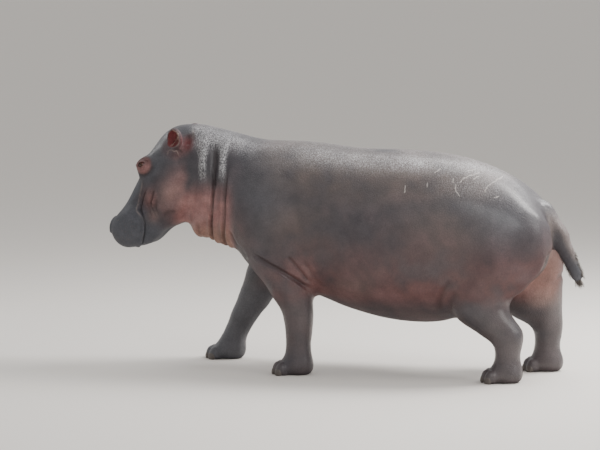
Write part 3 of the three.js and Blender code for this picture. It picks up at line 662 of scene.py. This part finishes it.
crest = np.zeros(len(co))  # painted highlight: pale glinting specks along the back, the nape and the crests of the neck's rings
for crest_y, lean, wide in ((-0.876, 0.06, 0.030), (-0.737, 0.04, 0.028)):
    off = np.abs(y - crest_y + lean * (z - 1.40))
    spread = 0.05 * ramp(z, 1.33, 1.45)
    crest = strongest(crest, ramp(z, 1.16, 1.30) * fall(off, 0.35 * wide, 1.2 * wide + spread))
painted_glint = strongest(
    ramp(normal[:, 2], 0.50, 0.90) * ramp(z, 1.20, 1.36) * (0.85 + 0.5 * cloud) * (1 - on_head),
    crest * (1 - on_head),
    # painted highlight on the top of the tail
    0.20 * on_tail * ramp(normal[:, 2], -0.1, 0.7),
    0.85 * ramp(z, 1.36, 1.45) * ramp(y + 0.03 * cloud, -0.97, -0.88) * fall(y, -0.70, -0.60),
)
painted_glint *= (1 - 0.50 * ramp(normal[:, 2], 0.90, 0.99)) * (1 - patch(BODY, (-0.44, 1.34), (0.18, 0.12), 0.85))
# painted highlight: glinting specks round the scratches on the rump
painted_glint = strongest(painted_glint, patch(BODY, (0.89, 1.22), (0.20, 0.08), 0.30))
matt = strongest(  # undersides, round the ears, cheeks, sockets, thigh, above the tail's root
    ramp(-normal[:, 2], 0.15, 0.65),
    0.90 * strongest(behind_ear, fall(ear_near, 0.07, 0.12)),
    0.85 * on_head * ramp(toward, 0.0, 0.25),
    0.85 * fall(eye_near, 0.050, 0.075),
    patch(BODY, (1.27, 0.68), (0.22, 0.20), 0.75),
    patch(BODY, (1.40, 0.98), (0.13, 0.16), 0.90) * (1 - on_tail),
)
MASKS = {"pink": pink, "brown": brown, "dark": dark, "pale": pale, "inner_ear": inner_ear, "crease": shadow,
         "wine": wine, "peach": peach, "painted_glint": painted_glint, "matt": matt}
for name, values in MASKS.items():
    skin.data.attributes.new(name, "FLOAT", "POINT").data.foreach_set("value", values.astype(np.float32))


def feed(tree, node, inputs):
    """Links a node's inputs to sockets, or sets them to plain values. A colour is given by three numbers."""
    for key, value in inputs.items():
        socket = node.inputs[key]
        if isinstance(value, bpy.types.NodeSocket):
            tree.links.new(value, socket)
        else:
            socket.default_value = (*value, 1) if socket.type == "RGBA" else value


def add(tree, kind, inputs=None, **settings):
    """Adds a shader node, with its inputs and its other settings."""
    node = tree.nodes.new("ShaderNode" + kind)
    for key, value in settings.items():
        setattr(node, key, value)
    feed(tree, node, inputs or {})
    return node


def calc(tree, operation, first, second=0.0):
    return add(tree, "Math", {0: first, 1: second}, operation=operation).outputs[0]


def times(tree, first, second):
    return calc(tree, "MULTIPLY", first, second)


def vector(tree, operation, first, second=(0, 0, 0), out=0):
    return add(tree, "VectorMath", {0: first, 1: second}, operation=operation).outputs[out]


def scaled(tree, first, size):
    return add(tree, "VectorMath", {0: first, "Scale": size}, operation="SCALE").outputs[0]


def mixed(tree, share, first, second, blend="MIX"):
    inputs = {0: share, 6: first, 7: second}
    return add(tree, "Mix", inputs, data_type="RGBA", blend_type=blend).outputs[2]


def mapped(tree, value, low, high, first=0.0, last=1.0, smooth=True):
    """Turns the range from low to high into that from first to last."""
    inputs = {"Value": value, "From Min": low, "From Max": high, "To Min": first, "To Max": last}
    kind = "SMOOTHSTEP" if smooth else "LINEAR"
    return add(tree, "MapRange", inputs, interpolation_type=kind).outputs[0]


def cloudy(tree, place, scale, detail=2.0, roughness=0.5):
    """A noise node: its first output is a value and its Color a direction."""
    inputs = {"Vector": place, "Scale": scale, "Detail": detail, "Roughness": roughness}
    return add(tree, "TexNoise", inputs)


def own_place(tree):
    return add(tree, "TexCoord").outputs["Object"]


def new_group(name, inputs, outputs):
    """A group of shader nodes with its input and output nodes, from names and their kinds or numbers."""
    group = bpy.data.node_groups.new(name, "ShaderNodeTree")
    for title, value in inputs.items():
        kind = "NodeSocketVector" if value is None else "NodeSocketFloat"
        socket = group.interface.new_socket(title, in_out="INPUT", socket_type=kind)
        if value is not None:
            socket.default_value = value
    for title in outputs:
        group.interface.new_socket(title, in_out="OUTPUT", socket_type="NodeSocketFloat")
    return group, group.nodes.new("NodeGroupInput").outputs, group.nodes.new("NodeGroupOutput")


def new_material(name):
    """A material, its tree of nodes, and its surface."""
    made = bpy.data.materials.new(name)
    made.use_nodes = True
    return made, made.node_tree, made.node_tree.nodes["Principled BSDF"]


# The grain of hide: plates parted by cracks, finer plates within them, and a cloudy mottle under both.
grain, given, result = new_group("hide_grain", {"Cell Size": 0.016, "Warp": 0.4}, ("Cracks", "Mottle", "Height"))
place = own_place(grain)
per_metre = calc(grain, "DIVIDE", 1.0, given["Cell Size"])
warp = cloudy(grain, place, times(grain, per_metre, 0.6), 3)
shift = scaled(grain, warp.outputs["Color"], times(grain, given["Cell Size"], given["Warp"]))
bent = vector(grain, "ADD", place, shift)
crack_fields = []
for finer, weight in ((1.0, 0.6), (2.7, 0.4)):
    inputs = {"Vector": bent, "Scale": times(grain, per_metre, finer)}
    cells = add(grain, "TexVoronoi", inputs, feature="DISTANCE_TO_EDGE")
    plate = mapped(grain, cells.outputs["Distance"], 0, 0.16)
    crack_fields.append(times(grain, plate, weight))
cracks = calc(grain, "ADD", *crack_fields)
mottle = cloudy(grain, place, times(grain, per_metre, 0.22), 6, 0.65).outputs[0]
fine = cloudy(grain, place, times(grain, per_metre, 3.0), 4).outputs[0]
tall = calc(grain, "ADD", times(grain, cracks, 0.55), times(grain, fine, 0.7))
tall = calc(grain, "ADD", tall, times(grain, mottle, 0.8))
feed(grain, result, {"Cracks": cracks, "Mottle": mottle, "Height": tall})

# A healed scratch from another animal's tusk: a thin pale line between two places on one side.
scratch, given, result = new_group("tusk_scratch", {"Place": None, "Start": None, "End": None}, ("Mark",))
run = vector(scratch, "SUBTRACT", given["End"], given["Start"])
from_start = vector(scratch, "SUBTRACT", given["Place"], given["Start"])
covered, whole = (vector(scratch, "DOT_PRODUCT", v, run, 1) for v in (from_start, run))
held = add(scratch, "Clamp", {0: calc(scratch, "DIVIDE", covered, whole)}).outputs[0]
gap = vector(scratch, "LENGTH", vector(scratch, "SUBTRACT", from_start, scaled(scratch, run, held)), out=1)
feed(scratch, result, {"Mark": mapped(scratch, gap, 0.0015, 0.0050, 1, 0)})

hide, t, surface = new_material("wet_hide")
skin_grain = add(t, "Group", node_tree=grain)
feed(t, skin_grain, {"Cell Size": 0.017, "Warp": 0.6})
plates, mottle = skin_grain.outputs["Cracks"], skin_grain.outputs["Mottle"]
body_place = own_place(t)
tone = {name: add(t, "Attribute", attribute_name=name).outputs["Fac"] for name in MASKS}
SLATE = ((0.036, 0.033, 0.041), (0.058, 0.053, 0.062))
TONES = {  # each lies over those before it, and is mottled between its two colours
    "brown": ((0.102, 0.078, 0.071),) * 2,
    "wine": ((0.066, 0.027, 0.028), (0.094, 0.043, 0.041)),
    "pink": ((0.222, 0.092, 0.086), (0.342, 0.168, 0.156)),
    "peach": ((0.250, 0.130, 0.095), (0.360, 0.205, 0.160)),
    "dark": ((0.066, 0.073, 0.088), (0.098, 0.104, 0.122)),
    "inner_ear": ((0.105, 0.018, 0.022), (0.190, 0.042, 0.044)),
    "pale": ((0.420, 0.330, 0.290),) * 2,
}
GLINT_PAINT, SCAR, FOLD_SHADE_PAINT = (0.560, 0.560, 0.575), (0.520, 0.480, 0.450), (0.022, 0.012, 0.012)
mottled = mapped(t, mottle, 0.35, 0.65, smooth=False)
colour = mixed(t, mottled, *SLATE)
for name, (deep, light) in TONES.items():
    colour = mixed(t, tone[name], colour, mixed(t, mottled, deep, light))
# painted highlight: pale specks of glint mixed into the colour on the raised plates, where the glint mask says
glints = cloudy(t, vector(t, "MULTIPLY", body_place, (1, 1, 0.45)), 170, 3).outputs[0]
on_plates = calc(t, "ADD", times(t, plates, 0.55), 0.45)
glint_share = times(t, times(t, tone["painted_glint"], mapped(t, glints, 0.32, 0.68)), on_plates)
colour = mixed(t, glint_share, colour, GLINT_PAINT)

SCRATCHES = {  # lines (y, z) on each flank
    LEFT: [[(0.801, 1.230), (0.817, 1.254), (0.842, 1.267), (0.899, 1.284)],
           [(0.957, 1.202), (0.997, 1.235), (1.033, 1.260), (1.046, 1.288)],
           [(0.776, 1.217), (0.784, 1.182), (0.809, 1.151)], [(0.833, 1.295), (0.862, 1.302)],
           [(0.640, 1.285), (0.666, 1.308)], [(0.875, 1.252), (0.899, 1.264)], [(0.752, 1.254), (0.760, 1.229)],
           [(0.607, 1.225), (0.604, 1.200)], [(0.465, 1.209), (0.471, 1.170)], [(0.957, 1.174), (0.961, 1.203)],
           [(1.014, 1.140), (1.039, 1.149)]],
    RIGHT: [[(0.10, 1.20), (0.16, 1.23), (0.22, 1.24)], [(0.62, 1.10), (0.70, 1.17)], [(-0.30, 1.12), (-0.22, 1.10)]],
}
waver = vector(t, "SUBTRACT", cloudy(t, body_place, 34).outputs["Color"], (0.5, 0.5, 0.5))
wavering = vector(t, "ADD", body_place, vector(t, "MULTIPLY", waver, (0.02, 0.02, 0.02)))
on_flank = vector(t, "MULTIPLY", wavering, (0, 1, 1))
across_x = add(t, "SeparateXYZ", {0: body_place}).outputs[0]
scratch_marks = 0.0
for flank, lines in SCRATCHES.items():
    marks = 0.0
    for start, end in (pair for line in lines for pair in zip(line[:-1], line[1:])):
        mark = add(t, "Group", node_tree=scratch)
        feed(t, mark, {"Place": on_flank, "Start": (0, *start), "End": (0, *end)})
        marks = calc(t, "MAXIMUM", marks, mark.outputs[0])
    this_side = calc(t, "GREATER_THAN", times(t, across_x, flank), 0.1)
    scratch_marks = calc(t, "MAXIMUM", scratch_marks, times(t, marks, this_side))
colour = mixed(t, times(t, scratch_marks, 0.60), colour, SCAR)
# painted shade: the folds, the nostrils' slits and the eyes' rims are darkened where the crease mask says
colour = mixed(t, times(t, tone["crease"], 0.75), colour, FOLD_SHADE_PAINT)
colour = mixed(t, 1.0, colour, mixed(t, 0.24, (1, 1, 1), plates), blend="MULTIPLY")
rough = mapped(t, mottle, 0.35, 0.65, 0.34, 0.52, smooth=False)
bump = add(t, "Bump", {"Strength": 0.7, "Distance": 0.0035, "Height": skin_grain.outputs["Height"]})
feed(t, surface, {
    "Base Color": colour,
    "Roughness": calc(t, "ADD", rough, times(t, tone["matt"], 0.32)),
    "Specular IOR Level": 0.36,
    "Coat Weight": times(t, calc(t, "SUBTRACT", 1.0, tone["matt"]), 0.42),
    "Coat Roughness": 0.27,
    "Normal": bump.outputs[0],
})
skin.data.materials.append(hide)
choose(skin)
bpy.ops.object.shade_smooth()
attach(skin, "root")
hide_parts(*flesh)

# ------------------------ eyes
# Dark brown wet balls, each with a clear bulging front and a wide pupil lying level.
# The place on the ball, seen from its front, is kept with its points for the rings of the iris and the pupil.
FRONT_FROM, FRONT_RISE = 0.80, 0.06  # where the clear front begins and how far it stands out, in radii
EYE_WHITE = ((0.060, 0.014, 0.012), (0.120, 0.036, 0.030))
IRIS = ((0.030, 0.010, 0.006), (0.085, 0.030, 0.014))
PUPIL = (0.004, 0.003, 0.003)
glass, t, surface = new_material("eye_gloss")
seen_at = add(t, "SeparateXYZ", {0: add(t, "Attribute", attribute_name="seen").outputs["Vector"]})


def ring(wide, tall, soft):
    """One inside an ellipse about the middle of the eye, nought outside."""
    a, b = (calc(t, "DIVIDE", seen_at.outputs[i], size) for i, size in enumerate((wide, tall)))
    r = calc(t, "SQRT", calc(t, "ADD", times(t, a, a), times(t, b, b)))
    return mapped(t, r, 1 - soft, 1 + soft, 1, 0)


flecks = cloudy(t, own_place(t), 420, 5).outputs[0]
colour = mixed(t, ring(0.58, 0.56, 0.10), mixed(t, flecks, *EYE_WHITE), mixed(t, flecks, *IRIS))
colour = mixed(t, ring(0.30, 0.13, 0.15), colour, PUPIL)
feed(t, surface, {"Base Color": colour, "Roughness": 0.12, "Specular IOR Level": 0.35,
                  "Coat Weight": 0.25, "Coat Roughness": 0.05})
for flank, node in ((LEFT, "eye_left"), (RIGHT, "eye_right")):
    low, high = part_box(node)
    centre, radius = (low + high) / 2, (high.x - low.x) / 2
    bpy.ops.mesh.primitive_uv_sphere_add(segments=64, ring_count=40, radius=radius, location=centre)
    eye = bpy.context.object
    eye.name = "eyeball_" + node.split("_")[1]
    bpy.ops.object.transform_apply()
    out, along, over = (Vector(way) for way in eye_axes(flank))
    seen = []
    for v in eye.data.vertices:
        d = (v.co - centre) / radius
        seen.extend((d.dot(along), d.dot(over), d.dot(out)))
        v.co += out * radius * FRONT_RISE * (max(seen[-1] - FRONT_FROM, 0) / (1 - FRONT_FROM)) ** 0.7
    eye.data.attributes.new("seen", "FLOAT_VECTOR", "POINT").data.foreach_set("vector", seen)
    bpy.ops.object.shade_smooth()
    eye.data.materials.append(glass)
    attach(eye, "root")
    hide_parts(node)

# ------------------------ nails
# Each foot has four toes, and each toe a blunt nail of brown horn, ridged lengthwise and worn flat below.
NAIL_WIDE, NAIL_DEEP, NAIL_TALL = 0.0270, 0.0170, 0.0290  # half of each
NAIL_WORN, NAIL_HEIGHT = -0.0235, 0.0245  # the worn edge below the nail's middle, and the middle above the floor
horn, t, surface = new_material("nail_horn")
grown = add(t, "Mapping", {"Vector": own_place(t), "Scale": (5, 5, 0.5)}).outputs[0]
growth = cloudy(t, grown, 60, 4).outputs[0]
ridges = add(t, "Bump", {"Strength": 0.5, "Distance": 0.002, "Height": growth}).outputs[0]
feed(t, surface, {"Base Color": mixed(t, growth, (0.045, 0.038, 0.036), (0.115, 0.096, 0.084)), "Roughness": 0.45,
                  "Normal": ridges})
for node in NAILS:
    foot, points, turn = toe_of(node)
    bpy.ops.mesh.primitive_uv_sphere_add(segments=32, ring_count=20, radius=1)
    nail = bpy.context.object
    nail.name = node.replace("nail", "hoof_nail")
    for v in nail.data.vertices:  # a shield, square at the sides, flat in front and fanned out to its worn edge
        x, y, z = v.co
        v.co.x = NAIL_WIDE * math.copysign(abs(x) ** 0.75, x) * (1.04 - 0.14 * z)
        v.co.y = NAIL_DEEP * math.copysign(abs(y) ** 0.85, y) * (1.0 - 0.10 * z) - 0.0008 * math.cos(v.co.x * 900)
        v.co.y += 0.004 * z if y < 0 else 0
        v.co.z = max(NAIL_TALL * z, NAIL_WORN)
    nail.rotation_euler = (0, 0, turn)
    nail.location = foot + points * NAIL_REACH
    nail.location.z = NAIL_HEIGHT
    bpy.ops.object.transform_apply()
    bpy.ops.object.shade_smooth()
    nail.data.materials.append(horn)
    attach(nail, "root")
    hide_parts(node)

# ------------------------ hair
# Almost bare hide grows stiff bristles only on the lips, the ears' rims and the edges of the tail.
# Each bristle is a thin tapering spike, three-sided and bent toward the lie of the hair.
chance = random.Random(7)
SPINE = curve_through([(0, -1.47, 0.80), (0, -1.20, 1.10), (0, -0.90, 1.20), (0, -0.30, 0.95), (0, 0.50, 0.86),
                       (0, 1.10, 0.95), (0, 1.26, 1.05), (0, 1.37, 0.88), (0, 1.49, 0.62)], 0.02)
spine_reach = np.concatenate([[0], np.cumsum(np.linalg.norm(np.diff(SPINE, axis=0), axis=1))])
RINGS, MARGIN, UV_WIDE = 4, 0.02, 0.0014


def unwrapped(place):
    """A place on the skin as its share along the spine and its share of the way round it."""
    i = int(np.clip(np.linalg.norm(SPINE - np.array(place), axis=1).argmin(), 1, len(SPINE) - 2))
    run = SPINE[i + 1] - SPINE[i - 1]
    run = run / np.linalg.norm(run)
    off = np.array(place) - SPINE[i]
    along = min(max((spine_reach[i] + off @ run) / spine_reach[-1], 0), 1)
    round_it = math.atan2(off[0], off @ np.cross(run, (1.0, 0, 0))) / (2 * math.pi) + 0.5
    return MARGIN + (1 - 2 * MARGIN) * along, MARGIN + (1 - 2 * MARGIN) * round_it


def bristles(name, roots, thick, droop, colours):
    """Joins bristles, each a root, a direction and a length, into one piece."""
    verts, faces, uvs = [], [], []
    for root, lean, length in roots:
        lean = lean.normalized()
        across = lean.orthogonal().normalized()
        other = lean.cross(across)
        u, v = unwrapped(root)
        first = len(verts)
        for ring_at in range(RINGS - 1):
            share = ring_at / (RINGS - 1)
            centre = root + lean * length * share + Vector((0, 0, -1)) * droop * length * share * share
            for corner in range(3):
                angle = corner * 2 * math.pi / 3
                around = across * math.cos(angle) + other * math.sin(angle)
                verts.append(centre + around * thick * (1 - share) ** 0.7)
                uvs.append((u + UV_WIDE * math.cos(angle) * (1 - 0.5 * share), v + UV_WIDE * (2 * share - 1)))
        verts.append(root + lean * length + Vector((0, 0, -1)) * droop * length)
        uvs.append((u, v + UV_WIDE))
        sides = [(corner, (corner + 1) % 3) for corner in range(3)]
        for start in (first, first + 3):
            faces += [(start + a, start + b, start + b + 3, start + a + 3) for a, b in sides]
        faces += [(first + 6 + a, first + 6 + b, first + 9) for a, b in sides]
        faces.append((first + 2, first + 1, first))
    mesh = bpy.data.meshes.new(name)
    mesh.from_pydata([tuple(v) for v in verts], [], faces)
    layer = mesh.uv_layers.new(name="OFBake")
    for loop in mesh.loops:
        layer.data[loop.index].uv = uvs[loop.vertex_index]
    piece = bpy.data.objects.new(name, mesh)
    bpy.context.scene.collection.objects.link(piece)
    material, t, surface = new_material(name + "_hair")
    streak = mapped(t, cloudy(t, own_place(t), 300).outputs[0], 0.4, 0.6, smooth=False)
    feed(t, surface, {"Base Color": mixed(t, streak, *colours), "Roughness": 0.4})
    mesh.materials.append(material)
    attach(piece, "root")


def strayed(amount):
    return Vector([chance.gauss(0, amount) for _ in range(3)])


tree = skin_tree()
SUNK = 0.003  # how deep a bristle is rooted
TAIL_TIP = (1.490, 0.628)
roots = []
for _ in range(520):  # two rows on the tail's front and rear edges, thickest at the tip
    share = chance.random() ** 0.6
    y, z = 1.405 + 0.085 * share, 0.80 - 0.175 * share
    front = chance.random() < 0.5
    tip = chance.random() < 0.45
    if tip:
        (y, z), aim = TAIL_TIP, Vector((chance.gauss(0, 0.45), chance.gauss(0.15, 0.6), -1))
    else:
        aim = Vector((chance.gauss(0, 0.22), -0.95 if front else 0.95, 0.40 if front else 0.45))
    hit, outward = tree.ray_cast(Vector((chance.gauss(0, 0.004), y, z)), aim.normalized(), 0.2)[:2]
    if hit is None:
        continue
    lean = Vector((0, 0.42, -0.90)) + outward * (0.55 if tip else 0.60) + strayed(0.10)
    roots.append((hit - outward * SUNK, lean, (0.042 if tip else 0.028) * chance.uniform(0.6, 1.25)))
bristles("tail_bristles", roots, 0.0011, 0.1, ((0.020, 0.017, 0.016), (0.15, 0.12, 0.10)))

roots = []
for flank in (LEFT, RIGHT):
    for _ in range(120):  # tufts of stiff whiskers on the swollen upper lip and the chin
        start = from_head(flank * 0.5, chance.uniform(0.47, 0.64), chance.gauss(0.005, 0.045))
        hit, outward = tree.ray_cast(start, Vector((-flank, 0, 0)), 0.6)[:2]
        if hit is None:
            continue
        lean = outward * 0.8 + Vector((flank * 0.2, 0.1, -0.7)) + strayed(0.2)
        roots.append((hit - outward * SUNK, lean, chance.uniform(0.010, 0.026)))
bristles("lip_whiskers", roots, 0.0008, 0.15, ((0.05, 0.04, 0.04), (0.16, 0.13, 0.11)))

roots = []
for flank in (LEFT, RIGHT):
    centre, out, across, up = (Vector(v) for v in ear_axes(flank))
    for i in range(240):  # a fringe round the rim and down the ridge, combed across the opening
        if i % 3:
            angle = chance.uniform(-0.6, 3.75)
            spot = across * 0.050 * math.cos(angle) + up * (0.004 + 0.066 * math.sin(angle))
        else:
            rise = chance.uniform(-0.05, 0.045)
            spot = across * (0.004 + 0.10 * rise) + up * rise
        hit, outward = tree.ray_cast(centre + spot + out * 0.06, -out, 0.12)[:2]
        if hit is None:
            continue
        lean = out * 0.40 + outward * 0.25 - spot.normalized() * 0.65 + up * 0.45 + strayed(0.16)
        roots.append((hit - outward * 0.002, lean, chance.uniform(0.007, 0.016)))
bristles("ear_fringe", roots, 0.0005, 0.1, ((0.20, 0.10, 0.07), (0.50, 0.38, 0.30)))

# ------------------------ floor and lights
# A plain pale floor in an evenly lit studio, with soft boxes above and behind.
# The key and the rear box draw the wet gleam along the back, and the others keep the far side readable.
bpy.ops.mesh.primitive_plane_add(size=400)
floor = bpy.context.object
floor.name = "floor"
paint, t, surface = new_material("pale_floor")
feed(t, surface, {"Base Color": (0.78, 0.75, 0.71), "Roughness": 0.9})
floor.data.materials.append(paint)
world = bpy.data.worlds.new("studio")
bpy.context.scene.world = world
world.use_nodes = True
feed(world.node_tree, world.node_tree.nodes["Background"], {"Color": (1, 0.98, 0.96), "Strength": 0.67})


def softbox(name, place, aim, width, depth, power, tint=(1, 1, 1)):
    lamp = bpy.data.objects.new(name, bpy.data.lights.new(name, "AREA"))
    lamp.data.shape, lamp.data.size, lamp.data.size_y = "RECTANGLE", width, depth
    lamp.data.energy, lamp.data.color = power, tint
    lamp.location = place
    lamp.rotation_euler = (Vector(place) - Vector(aim)).to_track_quat("Z", "Y").to_euler()
    bpy.context.scene.collection.objects.link(lamp)


WARM = (1, 0.97, 0.94)
softbox("key", (-1.8, 3.6, 4.8), (0, 0.6, 1.0), 2.0, 2.6, 420, WARM)
softbox("rear", (1.2, 6.4, 3.8), (0, 1.0, 0.9), 3.0, 2.6, 165, WARM)
softbox("back", (-2.6, 1.4, 4.8), (0, 0.2, 1.0), 2.2, 5.0, 150)
softbox("brow", (-1.6, -4.2, 4.0), (0, -0.8, 1.1), 1.6, 1.6, 35)
softbox("side", (4.6, 2.4, 4.2), (0, -0.2, 1.0), 1.6, 2.0, 85)
